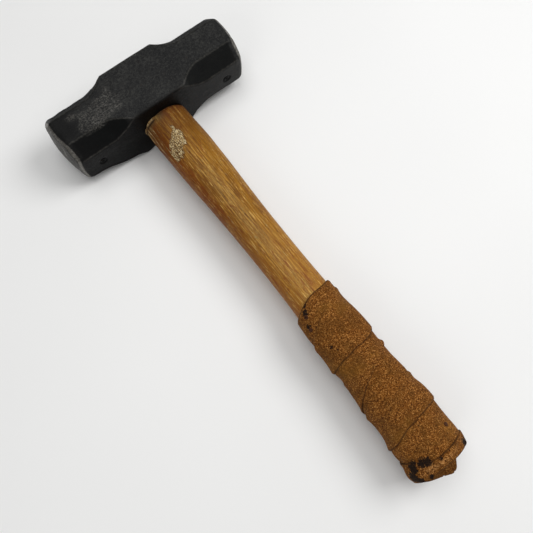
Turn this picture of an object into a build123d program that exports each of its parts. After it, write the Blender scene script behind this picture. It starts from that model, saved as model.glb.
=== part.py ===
"""Short-handled double-faced sledge hammer, lying on one cheek.

Frame (millimetres): the origin is the middle of the lower cheek, straight under the centre
of the eye. X runs along the head, from one striking face to the other, -Y runs down the
handle to the butt, and +Z is up, out of the other cheek.
"""
from build123d import *
import math
import os

os.makedirs("parts", exist_ok=True)

# ---- Head -------------------------------------------------------------------------------
HEAD_WIDTH = 51.0           # across the flats, the same both ways
HEAD_LENGTH = 170.0         # over the crowned striking faces
CORNER_LEG = 12.5           # leg of the 45 degree chamfer that makes the ends octagonal
SCALLOP_START = 24.0        # half length of the square middle, where each chamfer runs out
SCALLOP_FOOT = 40.3         # where the run-out ramp meets the chamfer plane
SCALLOP_RADIUS = 20.0       # hollow between the ramp and the chamfer plane
CROWN_RADIUS = 80.0         # spherical crown of the striking faces
RIM_FILLET = 4.0            # rounded rim of each striking face

# ---- Eye and wedges ---------------------------------------------------------------------
EYE_WAIST = (16.3, 12.2)    # half width and half thickness of the eye at its waist
EYE_MOUTH = (17.6, 13.2)    # the same at the handle side
EYE_TOP = (18.0, 14.0)      # the same at the top side, where the wedges spread the wood
EYE_CHAMFER = 0.8           # broken edge of the eye at the top side
TONGUE_PROUD = 2.0          # how far the handle stands out of the top of the head
WEDGE_TOP = 7.0             # thickness of the wooden wedge at the top
WEDGE_TIP = 1.2             # and at its thin end
WEDGE_DEPTH = 38.0          # how deep it is driven
STEEL_WEDGE = (3.6, 0.6, 24.0, 17.0)    # head thickness, tip thickness, depth, width
STEEL_WEDGE_PROUD = 0.8     # how far the steel wedges stand out of the wood
STEEL_WEDGE_PITCH = 15.0    # between the two steel wedges
STEEL_WEDGE_SLANT = 18.0    # each is driven a little across the wooden wedge, in degrees

# ---- Handle: distance from the eye centre, half width, half thickness -------------------
SHOULDER = (25.5, 19.4, 14.3)
HANDLE_STATIONS = (
    SHOULDER,
    (52.0, 20.0, 14.8),
    (85.0, 19.5, 14.6),
    (118.0, 18.2, 13.9),
    (160.0, 17.1, 13.2),
    (210.0, 17.1, 13.2),
    (240.0, 18.0, 14.0),
    (275.0, 18.9, 14.8),
    (300.0, 19.6, 15.4),
    (330.0, 21.0, 16.5),
    (350.0, 21.5, 17.0),
    (366.0, 20.8, 16.5),
    (373.0, 18.2, 14.6),
)
SHOULDER_FILLET = 2.4
BUTT_FILLET = 5.0

# ---- Leather grip -----------------------------------------------------------------------
# Every turn is an oval sleeve that widens towards the butt, where it laps over the next one.
GRIP_TILT = 11.0            # degrees that the edges of the turns lean across the handle
TURN_EDGES = (225.0, 273.5, 303.0, 340.0, 366.0)    # edges of the turns, top to butt
TURN_TOP = ((18.8, 14.8), (20.8, 16.5), (21.4, 17.0), (23.2, 18.5))       # upper ovals
TURN_BOTTOM = ((22.4, 17.8), (22.4, 17.8), (24.2, 19.3), (23.4, 18.8))    # lower ovals
CAP_OVALS = ((358.0, 22.2, 17.8), (369.0, 21.4, 17.1), (376.5, 18.8, 15.0))
CAP_FILLET = 2.0

# ---- Tacks ------------------------------------------------------------------------------
TACK_HEAD = 4.0             # diameter of the domed head
TACK_DOME = 1.2             # its height
TACK_SHANK = 1.5            # diameter of the shank under the head
TACK_LENGTH = 9.0
# Each tack: the turn it is in, how far down that turn (0 to 1), angle round the grip.
TACKS = ((0, 0.12, 135.0), (0, 0.30, 145.0), (3, 0.60, 47.0), (3, 0.50, 215.0))

# ---- Worked out from the above ----------------------------------------------------------
AXIS_Z = HEAD_WIDTH / 2
HALF_WIDTH = HEAD_WIDTH / 2
HALF_LENGTH = HEAD_LENGTH / 2
CORNER_REACH = HALF_WIDTH * math.sqrt(2)                  # axis to the sharp square corner
FACET_REACH = CORNER_REACH - CORNER_LEG / math.sqrt(2)    # axis to a chamfer plane
CLEARANCE = 8.0             # how far the cutting shapes reach past the metal they remove


def across_handle(distance, tilt=0.0):
    """Plane square to the handle, its normal towards the butt, leaning by tilt degrees."""
    lean = math.radians(tilt)
    return Plane(
        origin=(0, -distance, AXIS_Z),
        x_dir=(math.cos(lean), math.sin(lean), 0),
        z_dir=(math.sin(lean), -math.cos(lean), 0),
    )


# ---- Forms shared by neighbouring pieces ------------------------------------------------
# The inside of the eye: an oval hole with a waist, which the handle's tongue fills.
with BuildPart() as eye_form:
    for distance, (half_x, half_z) in (
        (-HALF_WIDTH - TONGUE_PROUD, EYE_TOP),
        (0, EYE_WAIST),
        (HALF_WIDTH + 0.5, EYE_MOUTH),
    ):
        with BuildSketch(across_handle(distance)):
            Ellipse(half_x, half_z)
    loft()

# The outside of the handle below the head, before its ends are rounded.
with BuildPart() as handle_form:
    for distance, half_x, half_z in HANDLE_STATIONS:
        with BuildSketch(across_handle(distance)):
            Ellipse(half_x, half_z)
    loft()

# The outside of the leather folded over the butt, before its edge is rounded.
with BuildPart() as cap_form:
    for distance, half_x, half_z in CAP_OVALS:
        with BuildSketch(across_handle(distance)):
            Ellipse(half_x, half_z)
    loft()

# The room that the wooden wedge takes in the tongue, as wide as the eye.
with BuildPart() as kerf_form:
    with BuildSketch(Plane.YZ):
        top_y = HALF_WIDTH + TONGUE_PROUD
        with BuildLine():
            Polyline(
                (top_y, AXIS_Z - WEDGE_TOP / 2),
                (top_y, AXIS_Z + WEDGE_TOP / 2),
                (top_y - WEDGE_DEPTH, AXIS_Z + WEDGE_TIP / 2),
                (top_y - WEDGE_DEPTH, AXIS_Z - WEDGE_TIP / 2),
                close=True,
            )
        make_face()
    extrude(amount=EYE_TOP[0] + CLEARANCE, both=True)

# ---- Head: forged square bar, octagonal towards both faces ------------------------------
with BuildPart() as head:
    with BuildSketch(Plane.YZ.offset(-HALF_LENGTH)):
        with Locations((0, AXIS_Z)):
            Rectangle(HEAD_WIDTH, HEAD_WIDTH)
    extrude(amount=HEAD_LENGTH)
    # The ramp that runs each chamfer out goes on past the sharp corner at the same slope.
    slope = (CORNER_REACH - FACET_REACH) / (SCALLOP_FOOT - SCALLOP_START)
    ramp_top = (SCALLOP_START - CLEARANCE / slope, CORNER_REACH + CLEARANCE)
    far_end = HALF_LENGTH + CLEARANCE
    for side_y, side_z in ((1, 1), (1, -1), (-1, 1), (-1, -1)):
        corner_plane = Plane(
            origin=(0, 0, AXIS_Z), x_dir=(1, 0, 0), z_dir=(0, -side_z, side_y)
        )
        with BuildSketch(corner_plane):
            with BuildLine():
                FilletPolyline(
                    ramp_top,
                    (SCALLOP_FOOT, FACET_REACH),
                    (far_end, FACET_REACH),
                    radius=SCALLOP_RADIUS,
                )
                Polyline((far_end, FACET_REACH), (far_end, ramp_top[1]), ramp_top)
            make_face()
            mirror(about=Plane.YZ)
        extrude(amount=CORNER_REACH, both=True, mode=Mode.SUBTRACT)
    # Each crown trims its own end: the box keeps the rest of the head inside the form.
    for side in (-1, 1):
        with BuildPart(mode=Mode.PRIVATE) as crown_form:
            with Locations((side * (HALF_LENGTH - CROWN_RADIUS), 0, AXIS_Z)):
                Sphere(CROWN_RADIUS)
            with Locations((-side * HEAD_WIDTH, 0, AXIS_Z)):
                Box(HEAD_LENGTH, 2 * HEAD_WIDTH, 2 * HEAD_WIDTH)
        add(crown_form.part, mode=Mode.INTERSECT)
    rims = head.faces().sort_by(Axis.X)[0].edges() + head.faces().sort_by(Axis.X)[-1].edges()
    fillet(rims, radius=RIM_FILLET)
    add(eye_form.part, mode=Mode.SUBTRACT)
    eye_rim = head.faces().sort_by(Axis.Y)[-1].inner_wires()[0].edges()
    chamfer(eye_rim, length=EYE_CHAMFER)

# ---- Steel wedges: two alike, driven across the wooden one ------------------------------
with BuildPart() as steel_wedges:
    thick, thin, depth, width = STEEL_WEDGE
    head_y = HALF_WIDTH + TONGUE_PROUD + STEEL_WEDGE_PROUD
    for side in (-1, 1):
        lean = math.radians(side * STEEL_WEDGE_SLANT)
        wedge_plane = Plane(
            origin=(side * STEEL_WEDGE_PITCH / 2, head_y, AXIS_Z),
            x_dir=(math.cos(lean), 0, math.sin(lean)),
            z_dir=(-math.sin(lean), 0, math.cos(lean)),
        )
        with BuildSketch(wedge_plane):
            with BuildLine():
                Polyline(
                    (-thick / 2, 0),
                    (thick / 2, 0),
                    (thin / 2, -depth),
                    (-thin / 2, -depth),
                    close=True,
                )
            make_face()
        extrude(amount=width / 2, both=True)

# ---- Tacks: domed head on a pointed shank, square to the leather ------------------------
with BuildPart() as grip_tacks:
    for turn, down, angle in TACKS:
        distance = TURN_EDGES[turn] + down * (TURN_EDGES[turn + 1] - TURN_EDGES[turn])
        half_x = TURN_TOP[turn][0] + down * (TURN_BOTTOM[turn][0] - TURN_TOP[turn][0])
        half_z = TURN_TOP[turn][1] + down * (TURN_BOTTOM[turn][1] - TURN_TOP[turn][1])
        across = half_x * math.cos(math.radians(angle))
        up = half_z * math.sin(math.radians(angle))
        outward = Vector(across / half_x**2, 0, up / half_z**2).normalized()
        seat = across_handle(distance, GRIP_TILT).from_local_coords(Vector(across, up, 0))
        profile_plane = Plane(origin=seat, x_dir=outward, z_dir=(0, 1, 0))
        with BuildSketch(profile_plane):
            with BuildLine():
                ThreePointArc(
                    (TACK_DOME, 0),
                    (TACK_DOME * 0.72, TACK_HEAD * 0.3),
                    (0, TACK_HEAD / 2),
                )
                Polyline(
                    (0, TACK_HEAD / 2),
                    (0, TACK_SHANK / 2),
                    (-TACK_LENGTH, 0),
                    (TACK_DOME, 0),
                )
            make_face()
        revolve(axis=Axis(seat, outward))

# ---- Handle: one piece of hickory, from the tongue in the eye to the butt ---------------
with BuildPart() as handle:
    add(handle_form.part)
    ends = handle.faces().filter_by(GeomType.PLANE).sort_by(Axis.Y)
    fillet(ends[-1].edges(), radius=SHOULDER_FILLET)
    fillet(ends[0].edges(), radius=BUTT_FILLET)
    add(eye_form.part)
    add(kerf_form.part, mode=Mode.SUBTRACT)
    add(steel_wedges.part, mode=Mode.SUBTRACT)
    add(grip_tacks.part, mode=Mode.SUBTRACT)

# ---- Wooden wedge: fills the kerf, split by the steel wedges ----------------------------
with BuildPart() as wood_wedge:
    add(kerf_form.part)
    add(eye_form.part, mode=Mode.INTERSECT)
    add(steel_wedges.part, mode=Mode.SUBTRACT)

# ---- Butt leather: a patch folded over the end of the handle ----------------------------
with BuildPart() as butt_leather:
    add(cap_form.part)
    fillet(butt_leather.faces().sort_by(Axis.Y)[0].edges(), radius=CAP_FILLET)
    add(handle.part, mode=Mode.SUBTRACT)

# ---- Grip strip: the wound turns, each lapping over the one below it --------------------
with BuildPart() as grip_strip:
    for top, bottom, upper, lower in zip(TURN_EDGES, TURN_EDGES[1:], TURN_TOP, TURN_BOTTOM):
        with BuildSketch(across_handle(top, GRIP_TILT)) as upper_oval:
            Ellipse(*upper)
        with BuildSketch(across_handle(bottom, GRIP_TILT)) as lower_oval:
            Ellipse(*lower)
        loft(sections=[upper_oval.sketch, lower_oval.sketch])
    add(handle_form.part, mode=Mode.SUBTRACT)
    add(cap_form.part, mode=Mode.SUBTRACT)
    add(grip_tacks.part, mode=Mode.SUBTRACT)

# ---- Write the pieces -------------------------------------------------------------------
for name, piece in (
    ("head", head),
    ("handle", handle),
    ("wood_wedge", wood_wedge),
    ("steel_wedges", steel_wedges),
    ("grip_strip", grip_strip),
    ("butt_leather", butt_leather),
    ("grip_tacks", grip_tacks),
):
    piece.part.label = name
    export_step(piece.part, f"parts/{name}.step")
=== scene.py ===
"""Looks of the sledge hammer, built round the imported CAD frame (metres, +Z up).

X runs along the head, -Y down the handle to the butt. The head, the handle, the leather and
the tacks are finer meshes that stand for their CAD nodes; the wedges stay as CAD nodes.
"""

import itertools
import math

import bmesh
import bpy
import numpy as np
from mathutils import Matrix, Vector
from mathutils.bvhtree import BVHTree


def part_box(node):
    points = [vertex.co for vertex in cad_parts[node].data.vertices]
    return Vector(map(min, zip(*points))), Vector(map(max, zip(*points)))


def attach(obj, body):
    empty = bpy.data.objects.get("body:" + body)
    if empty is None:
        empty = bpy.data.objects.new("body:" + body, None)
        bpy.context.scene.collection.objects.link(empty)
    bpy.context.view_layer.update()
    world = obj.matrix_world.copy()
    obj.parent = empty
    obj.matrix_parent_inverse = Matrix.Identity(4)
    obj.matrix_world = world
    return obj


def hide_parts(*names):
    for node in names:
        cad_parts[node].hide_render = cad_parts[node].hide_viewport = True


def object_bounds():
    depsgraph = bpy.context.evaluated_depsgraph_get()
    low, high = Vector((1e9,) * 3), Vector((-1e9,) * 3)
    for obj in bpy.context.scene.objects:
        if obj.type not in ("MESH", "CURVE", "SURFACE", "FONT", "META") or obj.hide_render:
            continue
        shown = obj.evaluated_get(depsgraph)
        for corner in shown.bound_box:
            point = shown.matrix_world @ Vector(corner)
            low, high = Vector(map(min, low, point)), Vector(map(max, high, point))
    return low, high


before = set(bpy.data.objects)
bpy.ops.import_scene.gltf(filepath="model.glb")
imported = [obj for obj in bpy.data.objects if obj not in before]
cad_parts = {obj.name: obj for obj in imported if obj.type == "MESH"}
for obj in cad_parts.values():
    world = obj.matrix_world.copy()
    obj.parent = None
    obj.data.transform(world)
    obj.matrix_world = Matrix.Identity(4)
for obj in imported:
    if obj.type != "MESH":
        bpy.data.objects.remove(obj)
CAD_LOW, CAD_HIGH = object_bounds()
MM = 0.001

# ---- Sizes read from the frame ----
HEAD_LOW, HEAD_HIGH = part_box("head")
HALF_WIDTH = (HEAD_HIGH.z - HEAD_LOW.z) / 2
HALF_LENGTH = (HEAD_HIGH.x - HEAD_LOW.x) / 2
AXIS_Z = (HEAD_HIGH.z + HEAD_LOW.z) / 2
TONGUE_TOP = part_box("handle")[1].y
BUTT_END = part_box("butt_leather")[0].y

# ---- Head ----
CORNER_LEG = 12.5 * MM       # leg of the chamfers that make the ends octagonal
RIDGE_LEG = 0.9 * MM         # leg of the narrow break along the square middle's corners
SCALLOP_START = 24.0 * MM    # half length of the square middle
SCALLOP_END = 46.0 * MM      # where the chamfers reach their full depth
SCALLOP_POWER = 1.65         # how quickly they get there
SHALLOW_PLACE = -42.0 * MM   # where one scallop, below at the left, was forged less deep
SHALLOW_SHARE, SHALLOW_REACH = 0.6, 15.0 * MM
HEAD_SKEW = 0.006            # how far askew the head sits on the handle, radians
LEFT_GROWTH, RIGHT_GROWTH = 1.3 * MM, 3.5 * MM    # forging allowance left on the two ends
CORNER_ROUND = 1.7 * MM      # radius along every long edge
CROWN_RADIUS = 80.0 * MM
CROWN_RISE = 3.0 * MM        # how far above the axis the faces bulge most
RIM_FILLET = 6.5 * MM
INSET_LEG = 0.586            # how much of an inset the chamfer's leg loses, 2 less root 2
EYE = ((-29.0, 18.04, 14.06), (-27.5, 18.0, 14.0), (0.0, 16.3, 12.2), (26.0, 17.6, 13.2))
MARK_PLACES = (-62.0 * MM, 63.0 * MM)    # punched ring-and-dot marks, handle side
MARK_RING, MARK_DOT, MARK_DEPTH = 2.9 * MM, 1.2 * MM, 0.8 * MM

# ---- Handle: distance from the eye centre, half width, half thickness (mm) ----
STATIONS = (
    (25.5, 19.4, 14.3), (52.0, 20.0, 14.8), (85.0, 19.5, 14.6), (118.0, 18.2, 13.9),
    (160.0, 17.1, 13.2), (210.0, 17.1, 13.2), (240.0, 18.0, 14.0), (275.0, 18.9, 14.8),
    (300.0, 19.6, 15.4), (330.0, 21.0, 16.5), (350.0, 21.5, 17.0), (366.0, 20.8, 16.5),
    (373.0, 18.2, 14.6),
)
SHOULDER_FILLET = 2.4 * MM
HANDLE_BOW = 0.6 * MM        # how far the bare wood bows to the right
BUTT_FILLET = 5.0 * MM
WOOD_END = 370.8             # where the wood stops inside the butt leather (mm)

# ---- Suede strip ----
LEATHER = 1.65 * MM
# Lower edge of the strip as it winds up the grip: turned angle in degrees (0 is the left
# side, 90 the top, 180 the right side), distance from the eye centre, strip width (mm).
WINDING = (
    (-400.0, 371.0, 52.0), (-200.0, 367.0, 54.0), (10.0, 343.6, 55.0), (36.0, 342.6, 55.0),
    (60.0, 339.4, 55.0), (105.0, 336.8, 55.0), (180.0, 335.2, 54.5), (369.0, 309.2, 54.0),
    (455.0, 292.2, 54.0), (530.0, 283.6, 54.0), (742.0, 277.4, 48.0), (800.0, 274.0, 51.0),
    (850.0, 272.8, 51.5), (880.0, 269.8, 50.0), (985.0, 266.5, 47.0),
)

# Leather packed or pressed under the laps: distance, height (mm), on the left and the right.
LEFT_SLACK = (
    (230.0, 0.3), (238.0, 1.1), (255.0, 0.7), (263.0, -0.1), (272.0, 0.2), (279.0, 0.8),
    (285.0, -0.4), (291.0, -1.2), (299.0, -0.8), (308.0, -0.3), (315.0, 0.8), (322.0, -0.9),
    (338.0, -0.9), (345.0, 1.0), (351.0, 1.4), (357.0, 0.2), (363.0, 0.4), (371.0, 0.8),
)
RIGHT_SLACK = (
    (222.0, 1.2), (227.0, 0.9), (233.0, -0.6), (243.0, -0.4), (251.0, 0.5), (267.0, 0.6),
    (276.0, 0.0), (291.0, -0.4), (303.0, 0.4), (309.0, 0.3), (315.0, -1.0), (322.0, 0.0),
    (344.0, -0.2), (350.0, -1.0), (357.0, -2.2), (363.0, -1.2), (371.0, -0.2),
)


# ---- Small maths ----
def smooth_curves(at, table):
    """Values at some places, along smooth curves through a table of places and values."""
    places, *columns = np.array(table).T
    at = np.clip(np.asarray(at, float), places[0], places[-1])
    i = np.clip(np.searchsorted(places, at, side="right") - 1, 0, len(places) - 2)
    span = places[i + 1] - places[i]
    t = (at - places[i]) / span
    curves = []
    for values in columns:
        slopes = np.gradient(values, places)
        curves.append(
            values[i] * (2 * t**3 - 3 * t**2 + 1)
            + slopes[i] * span * (t**3 - 2 * t**2 + t)
            + values[i + 1] * (3 * t**2 - 2 * t**3)
            + slopes[i + 1] * span * (t**3 - t**2)
        )
    return curves


def step(value, low, high):
    """0 below low, 1 above high, smooth between."""
    t = np.clip((np.asarray(value) - low) / (high - low), 0, 1)
    return t * t * (3 - 2 * t)


def fade(value, low, high):
    """1 below low, 0 above high, smooth between."""
    return 1 - step(value, low, high)


def bump(value, centre, width):
    """A soft hill of height 1."""
    return np.exp(-(((np.asarray(value) - centre) / width) ** 2))


def rough_field(points, size, seed):
    """Smooth random values from -1 to 1, with features about size millimetres across."""
    cells = 32
    table = np.random.default_rng(seed).uniform(-1, 1, (cells,) * 3)
    place = np.asarray(points) / (size * MM)
    low = np.floor(place).astype(int)
    t = place - low
    t = t * t * (3 - 2 * t)
    total = np.zeros(place.shape[:-1])
    for corner in itertools.product((0, 1), repeat=3):
        weight = np.prod(np.where(corner, t, 1 - t), axis=-1)
        index = (low + corner) % cells
        total += weight * table[index[..., 0], index[..., 1], index[..., 2]]
    return total


# ---- Meshes ----
def show(name, data):
    """A new object in the scene."""
    obj = bpy.data.objects.new(name, data)
    bpy.context.scene.collection.objects.link(obj)
    return obj


def make_object(name, points, faces):
    """A smooth-shaded mesh object with its faces turned outward."""
    mesh = bpy.data.meshes.new(name)
    mesh.from_pydata(np.asarray(points).reshape(-1, 3).tolist(), [], faces)
    shape = bmesh.new()
    shape.from_mesh(mesh)
    bmesh.ops.recalc_face_normals(shape, faces=shape.faces)
    shape.to_mesh(mesh)
    shape.free()
    mesh.shade_smooth()
    return show(name, mesh)


def tube(name, rows):
    """A closed mesh through rings of points: rows[i, j], i along it and j round it."""
    rows = np.asarray(rows, float)
    count, around = rows.shape[:2]
    points = np.vstack([rows.reshape(-1, 3), rows[0].mean(axis=0), rows[-1].mean(axis=0)])
    faces = []
    last, total = (count - 1) * around, count * around
    for low, j in itertools.product(range(0, last, around), range(around)):
        k, high = (j + 1) % around, low + around
        faces.append((low + j, low + k, high + k, high + j))
    for j in range(around):
        k = (j + 1) % around
        faces.append((total, k, j))
        faces.append((total + 1, last + j, last + k))
    return make_object(name, points, faces)


def coordinates(obj, kind="co"):
    """Where the vertices of a mesh are, or their normals, one row for each."""
    flat = np.empty(len(obj.data.vertices) * 3)
    obj.data.vertices.foreach_get(kind, flat)
    return flat.reshape(-1, 3)


def push_out(obj, amount):
    """Moves every vertex along its normal."""
    moved = coordinates(obj) + coordinates(obj, "normal") * np.asarray(amount)[:, None]
    obj.data.vertices.foreach_set("co", moved.ravel())
    obj.data.update()


def set_mask(obj, name, values):
    """Keeps a number for each vertex, which the material reads by name."""
    layer = obj.data.attributes.new(name, "FLOAT", "POINT")
    layer.data.foreach_set("value", np.clip(values, 0, 1).astype(np.float32))


def cut(obj, cutter):
    """Takes the cutter's volume away from a mesh, and the cutter from the scene."""
    change = obj.modifiers.new("cut", "BOOLEAN")
    change.operation, change.solver, change.object = "DIFFERENCE", "EXACT", cutter
    shown = obj.evaluated_get(bpy.context.evaluated_depsgraph_get())
    mesh = bpy.data.meshes.new_from_object(shown)
    obj.modifiers.clear()
    obj.data = mesh
    bpy.data.objects.remove(cutter)


def oval_ring(distance, half_x, half_z, around):
    """Points round an oval square to the handle, in metres."""
    angle = np.linspace(0, 2 * math.pi, around, endpoint=False)
    ring = np.empty((around, 3))
    ring[:, 0] = half_x * np.cos(angle)
    ring[:, 1] = -distance
    ring[:, 2] = AXIS_Z + half_z * np.sin(angle)
    return ring


# ---- Head ----
def corner_leg(x, y, z):
    """Leg of the chamfer at a place on the head, z being measured from its axis."""
    share = np.clip((np.abs(x) - SCALLOP_START) / (SCALLOP_END - SCALLOP_START), 0, 1)
    leg = CORNER_LEG * (1 - (1 - share) ** SCALLOP_POWER)
    shallow = SHALLOW_SHARE * bump(x, SHALLOW_PLACE, SHALLOW_REACH)
    leg = leg * np.where((np.asarray(y) < 0) & (np.asarray(z) < 0), 1 - shallow, 1)
    return np.maximum(RIDGE_LEG, leg)


QUARTERS = (1, 1), (-1, 1), (-1, -1), (1, -1)


def octagon(half, legs, flat_steps=40, facet_steps=18, arc_steps=3):
    """Outline of a square with a chamfer on each corner and rounded edges, anticlockwise."""
    corners, reaches = [], []
    for (side_y, side_z), leg in zip(QUARTERS, legs):
        pair = [(side_y * half, side_z * (half - leg)), (side_y * (half - leg), side_z * half)]
        corners += pair if side_y * side_z > 0 else pair[::-1]
        reaches += [min(CORNER_ROUND * math.tan(math.pi / 8), 0.45 * leg * math.sqrt(2))] * 2
    corners = np.array(corners)
    outline = []
    for i, corner in enumerate(corners):
        before = corners[i - 1] - corner
        after = corners[(i + 1) % 8] - corner
        start = corner + before / np.linalg.norm(before) * reaches[i]
        end = corner + after / np.linalg.norm(after) * reaches[i]
        for t in np.linspace(0, 1, arc_steps + 1):
            outline.append((1 - t) ** 2 * start + 2 * t * (1 - t) * corner + t**2 * end)
        stop = corner + after * (1 - reaches[(i + 1) % 8] / np.linalg.norm(after))
        steps = facet_steps if i % 2 == 0 else flat_steps
        for t in np.linspace(0, 1, steps + 1)[1:-1]:
            outline.append(end + (stop - end) * t)
    return np.array(outline)


def crown_x(y, z):
    """Distance of the crowned face from the middle of the head, at a place on the face."""
    fall = CROWN_RADIUS - np.sqrt(CROWN_RADIUS**2 - (y - CROWN_RISE) ** 2 - z**2)
    return HALF_LENGTH - fall


def head_rows():
    """Rings round the head, from the centre of the left face to the centre of the right one."""
    end = []    # outline, x for the right end, from the side to the centre of the face
    face = octagon(HALF_WIDTH - RIM_FILLET, [CORNER_LEG - INSET_LEG * RIM_FILLET] * 4)
    for angle in np.linspace(0, math.pi / 2, 9):
        inset = RIM_FILLET * (1 - math.cos(angle))
        outline = octagon(HALF_WIDTH - inset, [CORNER_LEG - INSET_LEG * inset] * 4)
        x = crown_x(face[:, 0], face[:, 1]) - RIM_FILLET * (1 - math.sin(angle))
        end.append(np.column_stack([x, outline]))
    for scale in np.linspace(1, 0.04, 26)[1:]:
        flat = face * scale
        end.append(np.column_stack([crown_x(flat[:, 0], flat[:, 1]), flat]))
    start_x = end[0][:, 0].min() - 0.4 * MM
    body = []
    for x in np.linspace(-start_x, start_x, 251):
        outline = octagon(HALF_WIDTH, [float(corner_leg(x, y, z)) for y, z in QUARTERS])
        body.append(np.column_stack([np.full(len(outline), x), outline]))
    left = [ring * (-1, 1, 1) for ring in reversed(end)]
    rows = np.array(left + body + end)
    rows[..., 2] += AXIS_Z
    return rows


def ridge_distance(points):
    """Distance of each point from the nearest long edge of the head."""
    leg = corner_leg(points[:, 0], points[:, 1], points[:, 2] - AXIS_Z)
    y, z = np.abs(points[:, 1]), np.abs(points[:, 2] - AXIS_Z)
    inner = HALF_WIDTH - leg
    return np.minimum(np.hypot(y - inner, z - HALF_WIDTH), np.hypot(y - HALF_WIDTH, z - inner))


def rim_share(points):
    """0 on the side of the head, rising to 1 where the rim meets the striking face."""
    y, z = points[:, 1], points[:, 2] - AXIS_Z
    edge = crown_x(np.clip(y, -0.022, 0.022), np.clip(z, -0.022, 0.022))
    return np.clip((np.abs(points[:, 0]) - edge + RIM_FILLET) / RIM_FILLET, 0, 1)


def mark_depth(points):
    """How deep the punched marks are at each point: a ring round a dot, near each end."""
    depth = np.zeros(len(points))
    side = step(-points[:, 1], HALF_WIDTH - 3.0 * MM, HALF_WIDTH - 1.8 * MM)
    for x in MARK_PLACES:
        away = np.hypot(points[:, 0] - x, points[:, 2] - AXIS_Z + 1.5 * MM)
        ring = fade(np.abs(away - MARK_RING), 0.5 * MM, 1.1 * MM)
        dot = fade(away, MARK_DOT - 0.3 * MM, MARK_DOT + 0.35 * MM)
        depth = np.maximum(depth, side * np.maximum(ring, dot))
    return depth


def end_growth(x, y):
    """How much further the two ends of the head go than its even shape, in metres."""
    left = -LEFT_GROWTH * (1 + y / (28 * MM))
    return np.where(x < 0, left, RIGHT_GROWTH) * step(np.abs(x), SCALLOP_END, 70 * MM)


def facet_share(points):
    """1 on the scalloped facets, 0 on the four broad sides of the head."""
    y, z = points[:, 1], points[:, 2] - AXIS_Z
    leg = corner_leg(points[:, 0], y, z)
    beyond = np.abs(y) + np.abs(z) - (2 * HALF_WIDTH - leg)
    return step(beyond, -2.0 * MM, -0.4 * MM) * step(leg, 1.5 * MM, 6 * MM)


def scuffed(points):
    """A rubbed patch on the upper cheek, left of the eye."""
    x, y = points[:, 0] / MM, points[:, 1] / MM
    along = (x + 42) / 21
    across = (y + 3 - 0.16 * (x + 45)) / 12.5
    patchy = 0.35 * rough_field(points, 7, 8)
    inside = 1.1 - np.maximum(np.abs(along), np.abs(across)) + patchy
    return step(inside, 0.0, 0.35) * (points[:, 2] > AXIS_Z + HALF_WIDTH - 2 * MM)


def build_head():
    head = tube("head_forged", head_rows())
    points = coordinates(head)
    ridge = np.exp(-((ridge_distance(points) / (1.6 * MM)) ** 2))
    rim = rim_share(points)
    forged = 0.16 * rough_field(points, 19, 1) + 0.07 * rough_field(points, 6.5, 2)
    hollows = -0.30 * step(rough_field(points, 11, 3), 0.55, 0.85)
    dings = -0.30 * ridge * step(rough_field(points, 6.5, 4), 0.15, 0.9)
    rim_bump = np.sin(np.clip(rim, 0, 1) * math.pi)
    rim_dings = -0.5 * rim_bump * step(rough_field(points, 5.5, 5), 0.1, 0.75)
    face_dings = -0.35 * step(rim, 0.97, 1.0) * step(rough_field(points, 4.2, 6), 0.35, 0.8)
    amount = forged + hollows + dings + rim_dings + face_dings
    amount = np.minimum(amount, 0.06) - mark_depth(points) * MARK_DEPTH / MM
    push_out(head, amount * MM)
    points = coordinates(head)
    x, y, z = points.T
    points[:, 0] += end_growth(x, y)
    fuller = 2.2 * bump(x, -22 * MM, 14 * MM) + 1.5 * step(-x, 12 * MM, 30 * MM)
    fuller = fuller - 1.1 * bump(x, 56 * MM, 22 * MM)
    fuller = fuller * step(-y, 8 * MM, 25 * MM) * fade(z, 3 * MM, 24 * MM)
    points[:, 1] += HEAD_SKEW * x - fuller * MM
    head.data.vertices.foreach_set("co", points.ravel())
    eye = tube("eye_cutter", [oval_ring(d * MM, a * MM, b * MM, 128) for d, a, b in smooth_eye()])
    cut(head, eye)
    points = coordinates(head)
    points[:, 1] -= HEAD_SKEW * points[:, 0]
    points[:, 0] -= end_growth(points[:, 0], points[:, 1])
    ridge = np.exp(-((ridge_distance(points) / (1.3 * MM)) ** 2))
    rim = rim_share(points)
    set_mask(head, "ridge", ridge * fade(rim, 0.4, 0.9))
    set_mask(head, "rim", bump(rim, 0.84, 0.22) * step(rim, 0.05, 0.3))
    set_mask(head, "face", step(rim, 0.93, 1.0))
    set_mask(head, "mark", mark_depth(points))
    set_mask(head, "scuff", scuffed(points))
    set_mask(head, "facet", facet_share(points) * fade(rim, 0.0, 0.5))
    head.data.shade_smooth()
    return head


def smooth_eye():
    """Oval sections down the eye, from beyond the top of the head to beyond its lower side."""
    places = np.linspace(EYE[0][0], EYE[-1][0], 24)
    return np.column_stack([places, *smooth_curves(places, EYE)])


# ---- Handle ----
def handle_half(distance):
    """Half width and half thickness of the wood, in metres, at a distance in millimetres."""
    half_x, half_z = smooth_curves(distance, STATIONS)
    return half_x * MM, half_z * MM


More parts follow.
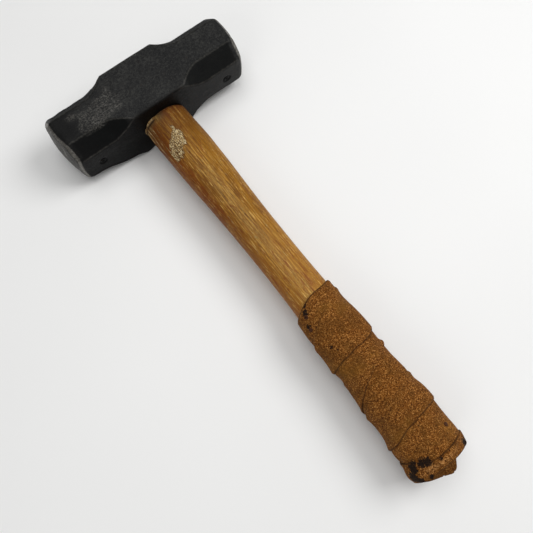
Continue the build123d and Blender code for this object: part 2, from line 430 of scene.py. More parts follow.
def handle_rows(around=168):
    """Rings from the top of the tongue, through the eye and down to the butt."""
    rows = []
    top = -TONGUE_TOP / MM + 0.35
    for scale in (0.02, 0.2, 0.4, 0.6, 0.8, 0.95):
        rows.append(oval_ring(top * MM, 18.0 * MM * scale, 14.0 * MM * scale, around))
    for distance, half_x, half_z in smooth_eye():
        if top <= distance <= 24.5:
            rows.append(oval_ring(distance * MM, half_x * MM, half_z * MM, around))
    first = STATIONS[0][0] + 0.05
    half_x, half_z = handle_half(first)
    rows.append(oval_ring(first * MM, 17.5 * MM, 13.1 * MM, around))
    for angle in np.linspace(0, math.pi / 2, 7):
        inset = SHOULDER_FILLET * (1 - math.sin(angle))
        along = first * MM + SHOULDER_FILLET * (1 - math.cos(angle))
        rows.append(oval_ring(along, half_x - inset, half_z - inset, around))
    last = STATIONS[-1][0]
    bare, gripped = np.linspace(first + 3, 240, 216), np.linspace(243, last - BUTT_FILLET / MM, 46)
    for distance in [*bare, *gripped]:
        rows.append(oval_ring(distance * MM, *handle_half(distance), around))
    half_x, half_z = handle_half(last)
    for angle in np.linspace(0, math.pi / 2, 6)[1:]:
        inset = BUTT_FILLET * (1 - math.cos(angle))
        along = last * MM - BUTT_FILLET * (1 - math.sin(angle))
        rows.append(oval_ring(along, half_x - inset, half_z - inset, around))
    rows.append(oval_ring(last * MM, half_x * 0.3, half_z * 0.3, around))
    return np.array(rows)


def worn_patch(points):
    """Where the varnish is worn through to grey wood, slantwise across the top of the handle."""
    x, y = points[:, 0] / MM + 7.6, points[:, 1] / MM + 57.5
    along = (-0.5 * x - 0.866 * y) / 14.5
    across = (0.866 * x - 0.5 * y) / 7.8
    ragged = 0.40 * rough_field(points * (1, 0.3, 1), 2.2, 21)
    blob = 1.05 - np.hypot(along, across) + ragged
    return step(blob, 0.0, 0.35) * (points[:, 2] > AXIS_Z)


def chipped_edge(points):
    """Splintered wood at the left of the shoulder, where the head bites."""
    down = -points[:, 1] - HALF_WIDTH
    reach = 36 * MM * (0.62 + 0.6 * rough_field(points * (1, 0.05, 1), 1.6, 22))
    side = step(-points[:, 0], 15.0 * MM, 16.6 * MM) * (points[:, 2] > AXIS_Z - 2 * MM)
    lines = step(rough_field(points * (1, 0.05, 1), 1.0, 27), -0.15, 0.35)
    return side * lines * step(reach - down, -1 * MM, 4 * MM) * step(down, 1 * MM, 6 * MM)


def collar(points):
    """Ring of curled fibres that the head pushed up on the left of the shoulder."""
    down = (-points[:, 1] - HALF_WIDTH) / MM
    turn = np.degrees(np.arctan2(points[:, 2] - AXIS_Z, points[:, 0])) % 360
    side = step(turn, 112, 140) * fade(turn, 215, 250)
    ragged = 0.7 + 0.5 * rough_field(points * (1, 0.2, 1), 2.5, 26)
    return side * ragged * step(down, -0.2, 0.3) * fade(down, 1.7, 2.5)


def build_handle():
    handle = tube("handle_hickory", handle_rows())
    points = coordinates(handle)
    below = step(-points[:, 1], HALF_WIDTH + 0.4 * MM, HALF_WIDTH + 4 * MM)
    grain = rough_field(points * (1, 0.06, 1), 2.4, 23)
    lumps = rough_field(points, 34, 24)
    worn, chips = worn_patch(points), chipped_edge(points)
    amount = 0.10 * lumps + 0.05 * grain - 0.30 * worn - 0.25 * worn * np.abs(grain)
    amount -= 0.55 * chips * step(rough_field(points * (1, 0.12, 1), 1.8, 25), -0.1, 0.5)
    down = (-points[:, 1] - HALF_WIDTH) / MM
    rim = collar(points * (1, 0, 1) - (0, HALF_WIDTH + MM, 0))
    groove = bump(down, 3.1, 0.8) * np.clip(rim, 0, 1)
    rim = collar(points)
    push_out(handle, (amount * below + 1.1 * rim - 0.35 * groove) * MM)
    bowed = coordinates(handle)
    bowed[:, 0] += HANDLE_BOW * step(down, 15, 40) * fade(down, 195, 215)
    wood_end = np.minimum(butt_end(bowed[:, 0]) - 3.9, WOOD_END)
    bowed[:, 1] = np.maximum(bowed[:, 1], -wood_end * MM)
    handle.data.vertices.foreach_set("co", bowed.ravel())
    set_mask(handle, "worn", worn_patch(points))
    set_mask(handle, "chipped", np.maximum(chipped_edge(points), rim))
    set_mask(handle, "groove", groove)
    return handle


# ---- Leather ----
def on_grip(angle, distance, offset):
    """Point over the wood of the grip: angle in degrees, distance in mm, offset in metres."""
    half_x, half_z = handle_half(distance)
    turn = np.radians(angle)
    cos, sin = np.cos(turn), np.sin(turn)
    normal = np.stack([cos / half_x, sin / half_z], axis=-1)
    normal /= np.linalg.norm(normal, axis=-1, keepdims=True)
    x = half_x * cos + normal[..., 0] * offset
    y = -np.asarray(distance) * MM * np.ones_like(cos)
    z = AXIS_Z + half_z * sin + normal[..., 1] * offset
    return np.stack([x, y, z], axis=-1)


def slack(angle, distance):
    """How far the leather stands off evenly tight leather, in metres, over the whole grip."""
    points = on_grip(angle, distance, 0.0)
    uneven = 0.30 * rough_field(points, 17, 31) + 0.12 * rough_field(points, 6, 32)
    for side, table in ((180, LEFT_SLACK), (0, RIGHT_SLACK)):
        away = np.abs((np.asarray(angle) - side + 180) % 360 - 180)
        uneven = uneven + fade(away, 25, 60) * smooth_curves(distance, table)[0]
    return uneven * MM


def layers_below(turned, distance):
    """How much of the strip lies under it at a place, in thicknesses."""
    start = WINDING[0][0]
    total = np.zeros(np.broadcast(turned, distance).shape)
    for turn in (1, 2, 3):
        under = turned - 360 * turn
        lower, width = smooth_curves(under, WINDING)
        past_edge = lower - width - distance
        total += fade(past_edge, 0.1, 3.2) * step(under, start - 6, start - 0.5)
    return total


def build_strip():
    """The long strip, wound from the butt upward, each turn lapping over the one below."""
    turned = np.arange(WINDING[0][0], WINDING[-1][0] + 0.1, 2.5)
    share = np.r_[0, 0.007, 0.016, np.linspace(0.03, 0.97, 38), 0.984, 0.993, 1]
    lower, width = smooth_curves(turned, WINDING)
    wander = np.column_stack([turned, turned * 0, turned * 0])
    ragged = 0.45 * rough_field(wander * MM, 14, 33)
    distance = lower[:, None] + ragged[:, None] * (1 - share) - width[:, None] * share
    turned = turned[:, None] + 0 * share
    angle = 180 - turned
    base = layers_below(turned, distance) * LEATHER + slack(angle, distance)
    base = np.maximum(base, -0.2 * MM)
    edge = np.minimum(share, 1 - share) * width[:, None]
    pressed = step(turned, 425, 465) * fade(turned, 500, 530)
    skived = pressed * fade(share * width[:, None], 0.0, 10.0) * 0.93
    lift = 0.12 * MM * np.exp(-edge / 1.6)
    thickness = LEATHER * (0.45 + 0.55 * step(edge, 0.0, 1.5)) * (1 - skived)
    outer = on_grip(angle, distance, base + lift + thickness)
    inner = on_grip(angle, distance, base + lift * (1 - pressed) + 0.04 * MM * (1 - pressed))
    strip = tube("grip_suede", np.concatenate([outer, inner[:, ::-1]], axis=1))
    # The cut edges are darkened; this also paints the shade along each seam where a turn laps the
    # one below.
    near_edge = fade(edge, 0.2, 1.3) * (1 - pressed)
    near_edge = np.concatenate([near_edge, near_edge[:, ::-1]], axis=1)
    set_mask(strip, "cut_edge_and_seam_shade", np.append(near_edge.ravel(), [1, 1]))
    return strip


# Upper edge of the butt leather: angle round the grip in degrees, distance in mm.
CAP_EDGE = (
    (-15.0, 361.8), (0.0, 362.6), (30.0, 363.0), (38.0, 363.4), (50.0, 363.9), (70.0, 364.2),
    (100.0, 364.5), (115.0, 363.6), (127.0, 361.0), (148.0, 357.4), (180.0, 355.6),
    (240.0, 355.0), (300.0, 358.0), (345.0, 361.8),
)
CAP_TURN = 371.5             # distance at which its side turns in, on the right
BUTT_SLANT = 0.37            # how much sooner the end comes, further to the left
# The plug of folded leather beyond it: share of the side's outline and distance in mm, on
# the right, where the plug is set in, and on the left, where it goes on flush.
CAP_PLUG = (
    (0.99, 372.2, 1.0, 372.0), (0.96, 372.7, 1.0, 372.6), (0.90, 373.0, 0.995, 373.2),
    (0.865, 373.3, 0.985, 373.8), (0.855, 373.7, 0.97, 374.4), (0.85, 374.2, 0.95, 374.9),
    (0.845, 374.8, 0.93, 375.4), (0.835, 375.3, 0.90, 375.8), (0.81, 375.9, 0.87, 376.1),
    (0.77, 376.3, 0.82, 376.35),
)
NOTCH_FROM, NOTCH_TO, NOTCH_END = 1.6, 6.0, 373.3    # the end is short on the right


def butt_end(x):
    """Distance (mm) of the slanting end of the butt, at x metres."""
    return -BUTT_END / MM + 3.9 + BUTT_SLANT * np.minimum(x / MM, 0)


def cap_edge(angle):
    """Distance of the leather's upper edge, and the angle counted from -15 degrees."""
    turn = (angle + 15) % 360 - 15
    return smooth_curves(turn, CAP_EDGE)[0], turn


def cap_flap(turn, distance):
    """1 on the corner of leather that sticks out on the right."""
    return np.exp(-(((turn - 6) / 24) ** 4)) * fade(distance, 371.6, 372.8)


def cap_offset(angle, distance):
    """Outer surface of the butt leather above the wood, in metres."""
    edge, turn = cap_edge(angle)
    inside = distance - edge
    points = on_grip(angle, distance, 0.0)
    height = 2 * LEATHER + slack(angle, distance) + 0.2 * MM * np.exp(-inside / 1.6)
    front = step(turn, 40, 62) * fade(turn, 132, 152)
    roll = np.clip(inside / (CAP_TURN + 1 - edge), 0, 1)
    crumple = 0.5 + 0.7 * rough_field(points, 4.2, 41) + 0.35 * rough_field(points, 2.0, 42)
    height += front * np.sin(roll * math.pi) ** 0.8 * crumple * 1.5 * MM
    left = step(turn, 110, 150) * fade(turn, 215, 250)
    height += left * (-0.1 + 2.6 * step(inside, 2, 13)) * MM
    height -= 0.6 * fade(np.abs(turn - 6), 25, 60) * MM
    flap_wave = 1 + 0.25 * rough_field(points, 6, 43)
    swell = 0.75 + 0.25 * step(distance, 360, 365)
    height += cap_flap(turn, distance) * step(inside, 0.0, 0.5) * swell * flap_wave * MM
    creased = np.abs(rough_field(points * (1, 0.5, 1), 5, 44))
    height -= 0.45 * MM * fade(creased, 0, 0.12) * step(inside, 1, 4)
    return height


def build_cap():
    """The leather drawn over the end of the butt, its upper edge folded over the strip."""
    angle = np.linspace(0, 360, 280, endpoint=False)
    edge, turn = cap_edge(angle)
    edge = edge + 0.4 * rough_field(on_grip(angle, edge, 0.0), 3, 45)
    share = np.r_[0, 0.015, 0.04, np.linspace(0.07, 1, 34)][:, None]
    turn_in = np.minimum(CAP_TURN, butt_end(on_grip(angle, 366.0, 3 * MM)[:, 0]) - 0.6)
    side = edge + (turn_in - edge) * share
    height = cap_offset(angle, side)
    into = step(side - edge, 0.0, 1.0)
    outer = on_grip(angle, side, height - LEATHER * 0.5 * (1 - into))
    inner = on_grip(angle, side, np.maximum(height - LEATHER, 0.1 * MM))
    centre = np.array([0, 0, AXIS_Z])
    rim = outer[-1]
    pleats = np.abs(np.sin(np.radians(angle) * 4.5 + 1.3 * rough_field(rim, 15, 46)))
    plug = []
    flush = step(turn, 105, 140) * fade(turn, 220, 255)
    flat_rings = [(share, 376.5, share, 376.5) for share in np.linspace(0.735, 0.03, 13)]
    for scale, distance, left_scale, left_distance in CAP_PLUG + tuple(flat_rings):
        share = (scale + (left_scale - scale) * flush)[:, None]
        distance = distance + (left_distance - distance) * flush
        ring = centre + (rim - centre) * (share * (1, 0, 1))
        lumps = rough_field(ring, 5, 47)
        flat = fade(scale, 0.62, 0.8)
        fold = 0.7 * fade(pleats, 0, 0.4) * bump(scale, 0.72, 0.2)
        dip = flat * (0.45 + 0.5 * lumps) + fold
        short = step(ring[:, 0] / MM + 0.6 * lumps, NOTCH_FROM, NOTCH_TO)
        distance = distance + 3.8 * bump(ring[:, 0] / MM, -3.0, 6.0) * step(distance, 374, 376.5)
        limit = distance + (np.minimum(distance, NOTCH_END) - distance) * short
        limit = np.minimum(limit, butt_end(ring[:, 0]))
        ring[:, 1] = -(limit - np.clip(dip, 0, None)) * MM
        wall = (0.97 < np.array(scale / 0.855)) & (scale < 0.87)
        ring += (ring - centre) * (1, 0, 1) * (0.02 * lumps * wall)[:, None]
        plug.append(ring)
    hollow = [centre + (inner[-1] - centre) * (s, 1, s) for s in (0.05, 0.5, 0.9)]
    rows = hollow + list(inner[::-2]) + list(outer) + plug
    cap = tube("butt_suede", rows)
    points = coordinates(cap)
    distance = -points[:, 1] / MM
    turn = np.degrees(np.arctan2(points[:, 2] - AXIS_Z, points[:, 0]))
    line, turn = cap_edge(turn)
    # The cut edge, the corner flap and the end are darkened; along the upper edge this also paints
    # the shade of the seam over the strip.
    near_edge = fade(distance - line, 0.2, 1.2)
    flap = cap_flap(turn, distance) * step(distance, 366.5, 370)
    end = 0.65 * step(distance, 371.2, 372.4)
    set_mask(cap, "cut_edge_and_seam_shade", np.maximum.reduce([near_edge, flap, end]))
    front = step(turn, 55, 80) * fade(turn, 128, 148)
    set_mask(cap, "rubbed", front * step(distance - line, 1.5, 4) * fade(distance, 369, 371))
    return cap


# ---- Tacks ----
def islands(obj):
    """Centre of each separate solid in a mesh."""
    shape = bmesh.new()
    shape.from_mesh(obj.data)
    bmesh.ops.remove_doubles(shape, verts=shape.verts, dist=1e-6)
    left, centres = set(shape.verts), []
    while left:
        seed = left.pop()
        found, edge_of = [seed], [seed]
        while edge_of:
            for link in edge_of.pop().link_edges:
                new = left.intersection(link.verts)
                left -= new
                found += new
                edge_of += new
        centres.append(np.mean([v.co for v in found], axis=0))
    shape.free()
    return sorted(centres, key=lambda c: c[1])


def build_tacks(strip):
    """Small domed tacks, each pressed into the leather where the frame has one."""
    tree = BVHTree.FromObject(strip, bpy.context.evaluated_depsgraph_get())
    points, faces = [], []
    rings, around = 9, 28
    for centre in islands(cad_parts["grip_tacks"]):
        half_x, half_z = handle_half(-centre[1] / MM)
        out = Vector((centre[0] / half_x**2, 0, (centre[2] - AXIS_Z) / half_z**2)).normalized()
        start = Vector(centre) + out * 20 * MM
        seat = tree.ray_cast(start, -out)[0]
        side = out.cross(Vector((0, 1, 0))).normalized()
        along = side.cross(out)
        base = len(points)
        profile = [(0.3, -6.0), (0.7, -5.0), (0.75, -0.5), (1.65, -0.35), (1.75, -0.1)]
        profile += [(1.7 * math.cos(t), 0.7 * math.sin(t)) for t in np.linspace(0.15, 1.5, rings)]
        for radius, height in profile:
            for turn in np.linspace(0, 2 * math.pi, around, endpoint=False):
                uneven = 1 + 0.03 * math.sin(3 * turn + 900 * centre[0])
                spot = side * math.cos(turn) + along * math.sin(turn)
                points.append(seat + spot * radius * uneven * MM + out * height * MM)
        last = base + (len(profile) - 1) * around
        for low, j in itertools.product(range(base, last, around), range(around)):
            k, high = (j + 1) % around, low + around
            faces.append((low + j, low + k, high + k, high + j))
        faces.append(tuple(base + j for j in reversed(range(around))))
        faces.append(tuple(last + j for j in range(around)))
    return make_object("grip_tack_heads", np.array(points), faces)


# ---- Finishes ----
def rgb(red, green, blue):
    """Shader colour for a colour given as it shows on a screen, 0 to 255."""
    parts = [c / 255 for c in (red, green, blue)]
    return (*[c / 12.92 if c <= 0.04045 else ((c + 0.055) / 1.055) ** 2.4 for c in parts], 1)


class Finish:
    """A procedural material. Most methods add a node and give its output."""

    def __init__(self, name):
        self.material = bpy.data.materials.new(name)
        self.material.use_nodes = True
        self.tree = self.material.node_tree
        self.shader = self.tree.nodes["Principled BSDF"]
        self.place = self.node("ShaderNodeTexCoord").outputs["Object"]
        self.colour = (0, 0, 0, 1)

    def node(self, kind, *inputs, **settings):
        """A new node; inputs fill its sockets in order."""
        made = self.tree.nodes.new(kind)
        for name, value in settings.items():
            setattr(made, name, value)
        for value, socket in zip(inputs, made.inputs):
            self.put(value, socket)
        return made

    def put(self, value, socket):
        if isinstance(value, bpy.types.NodeSocket):
            self.tree.links.new(value, socket)
        else:
            socket.default_value = value

    def set(self, **values):
        """Gives the shader the colour so far and these values."""
        for name, value in {"Base_Color": self.colour, **values}.items():
            self.put(value, self.shader.inputs[name.replace("_", " ")])

    def sized(self, size, shift):
        """Coordinates in which a feature of this size in millimetres, or x by y by z, is 1."""
        x, y, z = (size,) * 3 if np.isscalar(size) else size
        inputs = self.place, (1000 / x, 1000 / y, 1000 / z), (shift,) * 3
        return self.node("ShaderNodeVectorMath", *inputs, operation="MULTIPLY_ADD").outputs[0]

    def noise(self, size, detail=3.0, roughness=0.55, distortion=0.0, shift=0.0):
        made = self.node("ShaderNodeTexNoise", self.sized(size, shift))
        names = "Scale", "Detail", "Roughness", "Distortion"
        for name, value in zip(names, (1.0, detail, roughness, distortion)):
            made.inputs[name].default_value = value
        return made.outputs["Fac"]

    def cells(self, size, feature="F1"):
        made = self.node("ShaderNodeTexVoronoi", self.sized(size, 0.0), feature=feature)
        made.inputs["Scale"].default_value = 1.0
        return made.outputs["Distance"]

    def math(self, operation, a, b=0.0, c=0.0):
        return self.node("ShaderNodeMath", a, b, c, operation=operation).outputs[0]

    def times(self, a, b):
        return self.math("MULTIPLY", a, b)

    def plus(self, a, b):
        return self.math("ADD", a, b)

    def less(self, a, b):
        return self.math("SUBTRACT", a, b)

    def most(self, a, b):
        return self.math("MAXIMUM", a, b)

    def scale(self, value, low, high, out_low=0.0, out_high=1.0):
        """A value moved from one span to another, clamped, with soft ends."""
        spans = value, low, high, out_low, out_high
        made = self.node("ShaderNodeMapRange", *spans, interpolation_type="SMOOTHSTEP")
        return made.outputs[0]

    def ramp(self, value, *stops):
        made = self.node("ShaderNodeValToRGB", value)
        line = made.color_ramp.elements
        while len(line) < len(stops):
            line.new(0.5)
        for element, (position, colour) in zip(line, stops):
            element.position, element.color = position, rgb(*colour)
        return made.outputs["Color"]

    def mix(self, factor, a, b):
        made = self.node("ShaderNodeMix", factor, data_type="RGBA")
        self.put(a, made.inputs[6])
        self.put(b, made.inputs[7])
        return made.outputs[2]

    def coat(self, share, *colour):
        """Lays a colour, 0 to 255, over what there is so far."""
        self.colour = self.mix(share, self.colour, rgb(*colour))

    def mask(self, name):
        return self.node("ShaderNodeAttribute", attribute_name=name).outputs["Fac"]

    def axis(self, name):
        return self.node("ShaderNodeSeparateXYZ", self.place).outputs[name]

    def relief(self, *layers):
        """Normals for height fields, each with the millimetres that its 0 to 1 span is."""
        for i, (height, depth) in enumerate(layers):
            made = self.node("ShaderNodeBump")
            made.inputs["Distance"].default_value = depth * MM
            self.put(height, made.inputs["Height"])
            if i:
                self.put(normal, made.inputs["Normal"])
            normal = made.outputs["Normal"]
        return normal

    def spot(self, x, y, z, radius):
        """1 at a place given in millimetres, fading to 0 at the radius."""
        place = (x * MM, y * MM, z * MM)
        made = self.node("ShaderNodeVectorMath", self.place, place, operation="DISTANCE")
        return self.scale(made.outputs["Value"], 0.0, radius * MM, 1.0, 0.0)


def forged_steel():
    """Black oxide over forged steel, rubbed to bare metal on the rims and the long edges."""
    look = Finish("forged_steel_black")
    along, down = look.axis("X"), look.axis("Y")
    broad = look.noise(16, 5)
    fine = look.noise(2.2, 6, 0.65)
    grit = look.noise(0.7, 4, 0.7)
    streaks = look.noise((1.7, 0.9, 1.2), 5, 0.75, 0.4, shift=3.1)
    mottle = look.math("MULTIPLY_ADD", broad, 0.35, look.times(fine, 0.65))
    look.colour = look.ramp(mottle, (0.36, (18, 19, 20)), (0.5, (33, 33, 33)), (0.64, (52, 52, 50)))
    look.coat(look.scale(grit, 0.52, 0.68, 0, 0.55), 74, 74, 71)
    look.coat(look.scale(grit, 0.46, 0.34, 0, 0.6), 12, 12, 13)
    rust = look.scale(look.noise(5.5, 5, 0.7, shift=7.0), 0.60, 0.74, 0, 0.25)
    look.coat(rust, 50, 37, 26)
    # Painted shade: the scalloped facets are darkened, more at the left end than at the right.
    facet = look.times(look.mask("facet"), look.scale(along, -0.04, 0.05, 0.97, 0.8))
    look.coat(facet, 5, 6, 6)
    # Painted shade: the handle-side face of the head is darkened, most towards the left.
    side = look.scale(down, -0.0235, -0.0250, 0, 0.95)
    look.coat(look.times(side, look.scale(along, 0.09, -0.03, 0.2, 1)), 8, 8, 8)
    # Painted shade: the left end of the head is darkened.
    look.coat(look.scale(along, -0.048, -0.072, 0, 0.75), 12, 12, 12)
    scuff = look.times(look.mask("scuff"), look.scale(streaks, 0.45, 0.60))
    rim = look.scale(look.plus(look.mask("rim"), look.times(grit, 1.1)), 1.0, 1.4)
    ridge = look.scale(look.plus(look.mask("ridge"), look.times(fine, 1.1)), 0.9, 1.6)
    face = look.times(look.mask("face"), look.scale(fine, 0.44, 0.64))
    bare = look.most(look.times(rim, 0.8), look.times(ridge, 0.14))
    bare = look.most(bare, look.times(face, 0.28))
    bare = look.most(bare, look.times(scuff, 0.36))
    steel = look.ramp(fine, (0.3, (84, 81, 76)), (0.55, (124, 121, 115)), (0.75, (158, 156, 149)))
    look.colour = look.mix(bare, look.colour, steel)
    pits = look.scale(look.cells(2.6), 0.06, 0.26)
    keep = look.scale(look.noise(7, 2, shift=2.0), 0.45, 0.55)
    pits = look.most(pits, keep)
    look.coat(look.scale(pits, 0, 1, 0.75, 0), 8, 8, 8)
    look.coat(look.scale(look.mask("mark"), 0.1, 0.6, 0, 0.97), 2, 2, 2)
    # Painted shade: the contact shadow round the handle, darkening the head's handle-side face near
    # it, with a mottled edge.
    painted_contact_shade = look.plus(look.spot(0, -28, 38, 38), look.math("MULTIPLY_ADD", fine, 0.5, -0.25))
    painted_contact_shade = look.scale(painted_contact_shade, 0.08, 0.42, 0, 0.92)
    look.coat(look.times(painted_contact_shade, look.scale(down, -0.022, -0.025)), 8, 7, 6)
    rough = look.scale(fine, 0.3, 0.7, 0.42, 0.60)
    rough = look.less(rough, look.times(bare, 0.12))
    rough = look.plus(rough, look.times(look.mask("facet"), 0.25))
    normal = look.relief((broad, 0.35), (fine, 0.16), (pits, 0.10), (grit, 0.05))
    metal = look.times(bare, 0.85)
    look.set(Metallic=metal, Roughness=rough, Normal=normal, Specular_IOR_Level=0.11)
    return look.material


def hickory():
    """Amber varnished hickory: rings and pores along the handle, worn to grey wood in places."""
    look = Finish("hickory_varnished")
    across, up, along = look.axis("X"), look.axis("Z"), look.axis("Y")
    bend = look.noise((24, 170, 24), 3)
    x = look.plus(across, look.math("MULTIPLY_ADD", bend, 0.016, 0.047))
    z = look.plus(up, look.math("MULTIPLY_ADD", bend, 0.010, 0.060))
    squares = look.plus(look.math("POWER", x, 2.0), look.math("POWER", z, 2.0))
    rings = look.math("FRACT", look.times(look.math("SQRT", squares), 1 / (2.3 * MM)))
    early = look.scale(rings, 0.0, 0.28, 0.9, 0)
    band = look.most(early, look.scale(rings, 0.72, 1.0, 0, 1))
    fibre = look.noise((0.85, 26, 0.85), 5, 0.7, 0.3)
    fine = look.noise((0.55, 2.8, 0.55), 4, 0.75, 0.3, shift=5.0)
    lines = look.noise((1.0, 75, 1.0), 2, 0.5, 0.1, shift=21.0)
    cloud = look.noise((9, 60, 9), 3, shift=9.0)
    patches = look.noise((4, 26, 4), 5, 0.65, 0.5, shift=2.5)
    thin = look.noise((0.5, 40, 0.5), 2, 0.6, 0.1, shift=31.0)
    look.colour = look.ramp(
        fibre, (0.37, (76, 40, 8)), (0.46, (128, 82, 22)), (0.54, (160, 112, 36)),
        (0.64, (220, 172, 82)),
    )
    look.coat(look.times(band, 0.25), 100, 58, 18)
    look.coat(look.scale(lines, 0.54, 0.62, 0, 0.65), 88, 42, 10)
    look.coat(look.scale(thin, 0.55, 0.61, 0, 0.55), 84, 42, 10)
    look.coat(look.scale(cloud, 0.42, 0.66, 0.0, 0.4), 116, 72, 20)
    golden = look.scale(patches, 0.34, 0.64, 0.1, 0.5)
    look.coat(look.times(look.scale(across, -0.002, 0.010), golden), 156, 106, 18)
    # A redder tone with painted shade: the left edge of the handle is darkened.
    left = look.scale(patches, 0.3, 0.55, 0.25, 0.8)
    look.coat(look.times(look.scale(across, -0.0085, -0.0140), left), 118, 58, 6)
    look.coat(look.scale(along, -0.120, -0.200, 0, 0.22), 212, 152, 66)
    # Painted highlight: a pale, streaky band along the top of the handle, a little left of centre.
    pale = look.times(look.scale(across, -0.009, -0.004), look.scale(across, 0.005, 0.0, 0, 1))
    pale = look.times(pale, look.scale(along, -0.070, -0.100))
    pale = look.times(pale, look.scale(fine, 0.44, 0.60, 0.0, 0.6))
    look.coat(pale, 180, 144, 76)
    open_pores = look.times(look.scale(fine, 0.55, 0.66), look.plus(early, 0.5))
    look.coat(look.times(open_pores, 0.6), 66, 34, 8)
    red = look.noise((1.3, 14, 1.3), 4, 0.65, 0.5, shift=1.7)
    red = look.plus(red, look.scale(along, -0.150, -0.205, 0, 0.045))
    look.coat(look.scale(red, 0.57, 0.66, 0, 0.65), 114, 46, 16)
    scratch = look.noise((0.55, 12, 0.55), 3, 0.7, 0.5, shift=12.0)
    scratch = look.scale(scratch, 0.58, 0.68, 0, 0.75)
    look.coat(scratch, 230, 186, 104)
    handled = look.scale(patches, 0.3, 0.6, 0.3, 0.75)
    look.coat(look.times(look.scale(along, -0.080, -0.034), handled), 84, 46, 14)
    cracks = look.scale(look.cells((1.5, 3.2, 1.5), "DISTANCE_TO_EDGE"), 0.02, 0.16)
    cracks = look.most(cracks, look.scale(fine, 0.56, 0.64))
    grey = look.ramp(fine, (0.36, (116, 86, 46)), (0.5, (184, 156, 106)), (0.6, (240, 222, 178)))
    grey = look.mix(cracks, rgb(82, 58, 32), grey)
    worn = look.plus(look.mask("worn"), look.math("MULTIPLY_ADD", fibre, 3.0, -1.5))
    worn = look.scale(worn, 0.25, 0.65, 0, 0.9)
    edge = look.times(look.scale(look.mask("worn"), 0.0, 0.25), look.less(1.0, worn))
    look.coat(look.times(edge, 0.45), 80, 42, 12)
    look.colour = look.mix(worn, look.colour, grey)
    chipped = look.mask("chipped")
    shreds = look.noise((0.9, 14, 0.9), 4, 0.8, 0.3, shift=8.0)
    splinter = look.ramp(
        shreds, (0.42, (50, 24, 8)), (0.48, (166, 120, 62)), (0.54, (226, 200, 148)),
    )
    look.colour = look.mix(look.times(chipped, 0.9), look.colour, splinter)
    near_head = look.scale(along, -0.036, -0.0262, 0, 0.8)
    dirt = look.times(near_head, look.scale(patches, 0.35, 0.6, 0.45, 1))
    dirt = look.times(dirt, look.less(1.0, look.times(chipped, 0.8)))
    stained = look.mix(look.scale(across, -0.007, 0.003), rgb(84, 74, 50), rgb(76, 34, 18))
    look.colour = look.mix(dirt, look.colour, stained)
    look.coat(look.scale(look.mask("groove"), 0.1, 0.6, 0, 0.7), 30, 16, 8)
    varnish = look.less(1.0, look.most(worn, chipped))
    rough = look.plus(look.scale(varnish, 0, 1, 0.85, 0.46), look.times(scratch, 0.2))
    cracks = look.times(worn, cracks)
    normal = look.relief((fibre, 0.22), (open_pores, -0.14), (cracks, 0.4), (patches, 0.25))
    look.set(Roughness=rough, Normal=normal, Specular_IOR_Level=0.15)
    return look.material


def wedge_wood():
    """End grain of the wooden wedge, sawn off level and darkened with oil."""
    look = Finish("wedge_end_grain")
    lines = look.noise((3.2, 30, 0.5), 4, 0.6)
    pores = look.cells((0.55, 6, 0.55))
    look.colour = look.ramp(
        lines, (0.3, (96, 62, 32)), (0.55, (150, 106, 60)), (0.75, (178, 136, 86)),
    )
    look.coat(look.scale(pores, 0.12, 0.3, 0.6, 0), 48, 28, 14)
    look.coat(look.scale(look.noise(8, 3), 0.45, 0.65, 0, 0.5), 58, 40, 26)
    normal = look.relief((lines, 0.2), (look.scale(pores, 0.1, 0.35), 0.10))
    look.set(Roughness=look.scale(lines, 0.3, 0.7, 0.62, 0.78), Normal=normal)
    return look.material


def plain_steel(name, dark, light, rust_share):
    """Small steel pieces: dull, scratched and spotted with rust."""
    look = Finish(name)
    fine = look.noise(0.6, 5, 0.65)
    broad = look.noise(2.5, 3, shift=4.0)
    look.colour = look.ramp(fine, (0.3, dark), (0.7, light))
    rust = look.scale(broad, 0.62 - rust_share, 0.72 - rust_share)
    look.coat(rust, 72, 42, 24)
    metal = look.scale(rust, 0, 1, 0.9, 0.1)
    rough = look.scale(rust, 0, 1, 0.46, 0.8)
    normal = look.relief((broad, 0.10), (fine, 0.05))
    look.set(Metallic=metal, Roughness=rough, Normal=normal, Specular_IOR_Level=0.15)
    return look.material


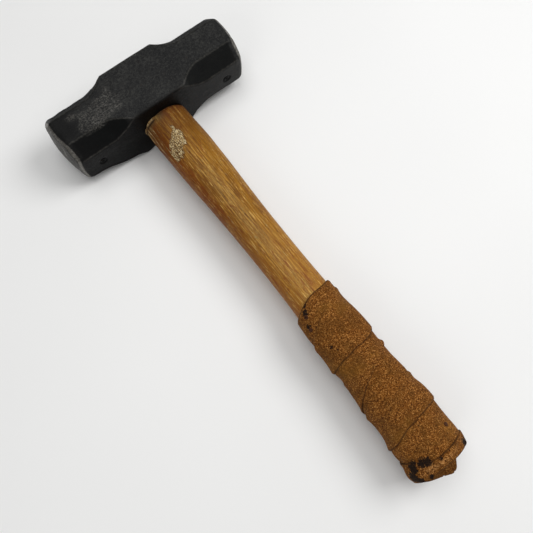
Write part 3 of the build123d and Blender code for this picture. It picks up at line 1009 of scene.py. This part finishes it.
def suede(name, stains):
    """Brown suede: short mottled nap, rubbed and greasy in places, dark along its cut edges, where
    the darkening also paints the shade of the seams between laps.
    """
    look = Finish(name)
    nap = look.noise(0.58, 3, 0.75, 0.6)
    tufts = look.noise(1.1, 4, 0.7, 0.5, shift=3.3)
    lie = look.noise((7.5, 10, 7.5), 4, 0.6, 0.5, shift=6.0)
    hide = look.noise(26, 3, shift=1.3)
    look.colour = look.ramp(
        look.plus(look.times(nap, 0.55), look.times(tufts, 0.45)),
        (0.385, (22, 10, 3)), (0.46, (84, 45, 11)), (0.535, (132, 79, 24)),
        (0.625, (216, 158, 88)),
    )
    look.coat(look.scale(lie, 0.42, 0.62, 0, 0.45), 84, 52, 14)
    look.coat(look.scale(hide, 0.5, 0.68, 0, 0.35), 128, 86, 24)
    rubbed = look.scale(tufts, 0.44, 0.62, 0, 0.7)
    look.coat(look.times(look.mask("rubbed"), rubbed), 196, 142, 84)
    # Darker cut edges, and painted shade along the seams where the leather laps.
    edge = look.times(look.mask("cut_edge_and_seam_shade"), look.scale(tufts, 0.3, 0.6, 0.25, 0.8))
    look.coat(edge, 34, 19, 8)
    soot = 0.0
    for x, y, z, radius, share in stains:
        soot = look.most(look.times(look.spot(x, y, z, radius), share), soot)
    ragged = look.math("MULTIPLY_ADD", look.noise(1.9, 5, 0.8, shift=8.0), 3.4, -1.6)
    soot = look.plus(soot, look.times(ragged, look.scale(soot, 0.0, 0.25)))
    soot = look.times(look.scale(soot, 0.24, 0.52), 0.94)
    look.coat(soot, 13, 10, 11)
    normal = look.relief((lie, 0.6), (tufts, 0.40), (nap, 0.28))
    rough = look.scale(hide, 0.35, 0.65, 0.95, 0.82)
    look.set(
        Roughness=rough, Normal=normal, Specular_IOR_Level=0.12,
        Sheen_Weight=0.07, Sheen_Roughness=0.45, Sheen_Tint=rgb(214, 176, 124),
    )
    return look.material


def pale_floor():
    look = Finish("pale_floor")
    look.colour = look.ramp(look.noise(400, 2), (0.3, (238, 238, 237)), (0.7, (243, 243, 242)))
    look.set(Roughness=0.9)
    return look.material


# ---- Assembly ----
head = build_head()
handle = build_handle()
strip = build_strip()
cap = build_cap()
tacks = build_tacks(strip)

# Each stain: x, y and z of its middle, its radius, all in millimetres, and its share.
TOP_STAINS = (
    (-13.2, -230.3, 38.5, 4.0, 1.0), (-17.0, -239.8, 36.0, 3.0, 0.9),
    (-10.5, -226.0, 40.0, 3.4, 0.8), (-14.2, -262.1, 40.0, 2.6, 0.7),
    (-12.0, -266.5, 41.5, 2.2, 0.7), (17.0, -355.0, 40.5, 2.6, 0.8),
)
BUTT_STAINS = (
    (-12.2, -362.2, 43.5, 5.0, 1.2), (-15.5, -360.6, 42.0, 5.0, 1.1),
    (-20.5, -357.5, 38.5, 4.2, 1.0), (-22.2, -361.0, 36.5, 5.6, 1.2),
    (-24.2, -366.6, 32.5, 6.4, 1.25), (-21.5, -370.5, 35.0, 4.8, 1.0),
    (-15.5, -371.5, 39.5, 3.5, 0.8), (-4.0, -366.0, 45.5, 2.4, 0.7),
    (20.5, -371.0, 36.0, 6.5, 1.2), (25.5, -370.0, 27.0, 5.0, 1.0),
)
strip_finish = suede("suede_brown", TOP_STAINS + BUTT_STAINS)
cap_finish = suede("suede_butt", BUTT_STAINS)
tack_finish = plain_steel("tack_steel_dull", (12, 9, 7), (36, 27, 21), 0.3)
for piece, node, slot, finish in (
    (head, "head", "forged_steel", forged_steel()),
    (handle, "handle", "hickory", hickory()),
    (strip, "grip_strip", "suede", strip_finish),
    (cap, "butt_leather", "butt_suede", cap_finish),
    (tacks, "grip_tacks", "tack_steel", tack_finish),
):
    piece.data.materials.clear()
    piece.data.materials.append(finish)
    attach(piece, "root")
    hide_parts(node)

for node, finish in (
    ("wood_wedge", wedge_wood()),
    ("steel_wedges", plain_steel("wedge_steel_dull", (66, 62, 58), (150, 146, 140), 0.05)),
):
    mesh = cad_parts[node].data
    mesh.materials.clear()
    mesh.materials.append(finish)

# ---- Floor, light and camera ----
floor_mesh = bpy.data.meshes.new("floor")
FLOOR_REACH = 3.0
corners = [(x * FLOOR_REACH, y * FLOOR_REACH, CAD_LOW.z) for x, y in QUARTERS]
floor_mesh.from_pydata(corners, [], [(0, 1, 2, 3)])
floor_mesh.materials.append(pale_floor())
floor = show("floor", floor_mesh)


def add_light(name, offset, size, power):
    """A round soft light, at an offset from the middle of the hammer and aimed at it."""
    lamp = bpy.data.lights.new(name, "AREA")
    lamp.shape, lamp.size, lamp.energy = "DISK", size, power
    obj = show(name, lamp)
    obj.location = MIDDLE + Vector(offset)
    obj.rotation_euler = (MIDDLE - obj.location).to_track_quat("-Z", "Y").to_euler()


MIDDLE = (Vector(CAD_LOW) + Vector(CAD_HIGH)) / 2
add_light("key", (0.95, -0.25, 1.15), 0.9, 13)
add_light("overhead", (0.0, 0.35, 1.5), 1.2, 9)
add_light("fill", (-1.1, -0.5, 0.9), 0.8, 2.5)
world = bpy.data.worlds.new("soft_surround")
world.use_nodes = True
surround = world.node_tree.nodes["Background"].inputs
surround["Color"].default_value, surround["Strength"].default_value = (1, 1, 1, 1), 0.22
bpy.context.scene.world = world
bpy.context.scene.view_settings.view_transform = "Standard"

CAMERA_AZIMUTH, CAMERA_ELEVATION, CAMERA_DISTANCE = -37.65, 73.71, 0.4384
azimuth, elevation = math.radians(CAMERA_AZIMUTH), math.radians(CAMERA_ELEVATION)
flat = math.cos(elevation)
back = Vector((math.sin(azimuth) * flat, -math.cos(azimuth) * flat, math.sin(elevation)))
aim = Vector((MIDDLE.x - 0.01115, MIDDLE.y - 0.00750, AXIS_Z))
lens = bpy.data.cameras.new("camera")
lens.lens, lens.sensor_width, lens.clip_start = 37.8, 36.0, 0.01
camera = show("camera", lens)
camera.location = aim + back * CAMERA_DISTANCE
camera.rotation_euler = (-back).to_track_quat("-Z", "Y").to_euler()
bpy.context.scene.camera = camera
